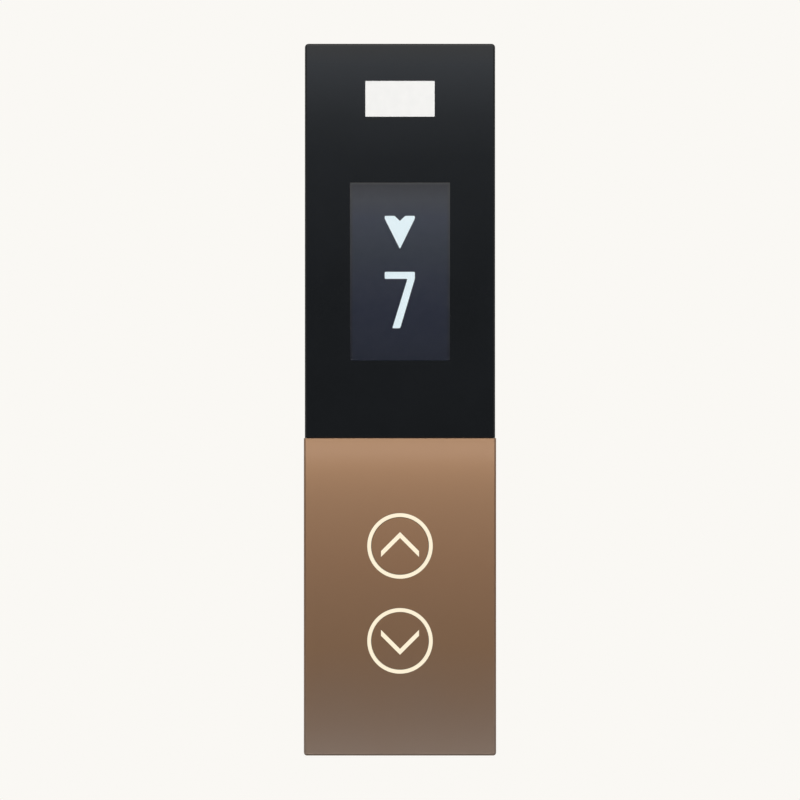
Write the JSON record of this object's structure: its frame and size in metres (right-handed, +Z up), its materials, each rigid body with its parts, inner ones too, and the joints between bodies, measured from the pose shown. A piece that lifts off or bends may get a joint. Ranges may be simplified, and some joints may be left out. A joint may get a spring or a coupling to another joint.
{
  "type": "elevator call button panel",
  "caption": "Slim wall-mounted elevator call panel: tall black glass head with a floor display above a bronze metal cover with lit round up and down push buttons.",
  "frame": {"origin": "centre of the panel's outline, on the wall plane behind the wall plate", "axes": "+Z up the wall, +Y into the wall (the panel faces -Y), +X to the right as seen from the front"},
  "size_m": [0.103, 0.0203, 0.381],
  "materials": {
    "bronze": "satin bronze-coloured coating on sheet steel",
    "housing_black": "fine moulded texture",
    "front_glass": "polished, toughened",
    "mask_black": "printed film",
    "foam_black": "closed-cell foam",
    "screen": "dark display surface",
    "zinc_sheet": "zinc-plated sheet",
    "white_plastic": "moulded",
    "flex_amber": "polyimide film",
    "board_green": "solder mask",
    "chip_black": "moulded",
    "brass": "turned",
    "screw_steel": "zinc-plated",
    "ivory_plastic": "moulded",
    "terminal_green": "moulded",
    "ribbon_grey": "extruded",
    "glow_cream": "translucent, lit from behind",
    "led_phosphor": "phosphor in clear resin"
  },
  "bodies": {
    "station": {"wall_plate": "zinc_sheet", "housing": "housing_black", "front_glass": "front_glass", "glass_mask": "mask_black", "glass_tape": "foam_black", "lcd_gasket": "foam_black", "lcd_can": "zinc_sheet", "lcd_cell": "screen", "lcd_backlight": "white_plastic", "lcd_bracket": "zinc_sheet", "lcd_flex": "flex_amber", "flex_connector": "ivory_plastic", "display_board": "board_green", "display_chips": "chip_black", "standoffs": "brass", "display_screws": "screw_steel", "face_cover": "bronze", "cover_studs": "screw_steel", "cover_nuts": "screw_steel", "lock_screws": "screw_steel", "button_board": "board_green", "button_chips": "chip_black", "buzzer": "chip_black", "field_connector": "terminal_green", "ribbon_cable": "ribbon_grey", "ribbon_sockets": "chip_black", "board_screws": "screw_steel", "cup_screws": "screw_steel", "up_halo_ring": "glow_cream", "up_ring_gasket": "foam_black", "up_button_cup": "white_plastic", "up_leds": "led_phosphor", "up_spring": "screw_steel", "up_switch_body": "chip_black", "down_halo_ring": "glow_cream", "down_ring_gasket": "foam_black", "down_button_cup": "white_plastic", "down_leds": "led_phosphor", "down_spring": "screw_steel", "down_switch_body": "chip_black"},
    "up_button": {"up_carrier": "white_plastic", "up_arrow_lens": "glow_cream", "up_cap": "bronze"},
    "up_switch": {"up_switch_plunger": "ivory_plastic"},
    "down_button": {"down_carrier": "white_plastic", "down_arrow_lens": "glow_cream", "down_cap": "bronze"},
    "down_switch": {"down_switch_plunger": "ivory_plastic"}
  },
  "joints": [
    {"name": "up_button_press", "type": "slide", "parent": "station", "child": "up_button", "axis": [0, 1, 0], "range_m": [0, 0.001], "stiffness_N_per_m": 1500, "springref_m": -0.002, "deforming": ["up_spring"]},
    {"name": "up_switch_press", "type": "slide", "parent": "station", "child": "up_switch", "axis": [0, 1, 0], "range_m": [0, 0.001], "stiffness_N_per_m": 300, "springref_m": -0.0005},
    {"name": "down_button_press", "type": "slide", "parent": "station", "child": "down_button", "axis": [0, 1, 0], "range_m": [0, 0.001], "stiffness_N_per_m": 1500, "springref_m": -0.002, "deforming": ["down_spring"]},
    {"name": "down_switch_press", "type": "slide", "parent": "station", "child": "down_switch", "axis": [0, 1, 0], "range_m": [0, 0.001], "stiffness_N_per_m": 300, "springref_m": -0.0005}
  ],
  "couplings": [
    {"joint": "up_switch_press", "follows": "up_button_press", "ratio": 1},
    {"joint": "down_switch_press", "follows": "down_button_press", "ratio": 1}
  ]
}
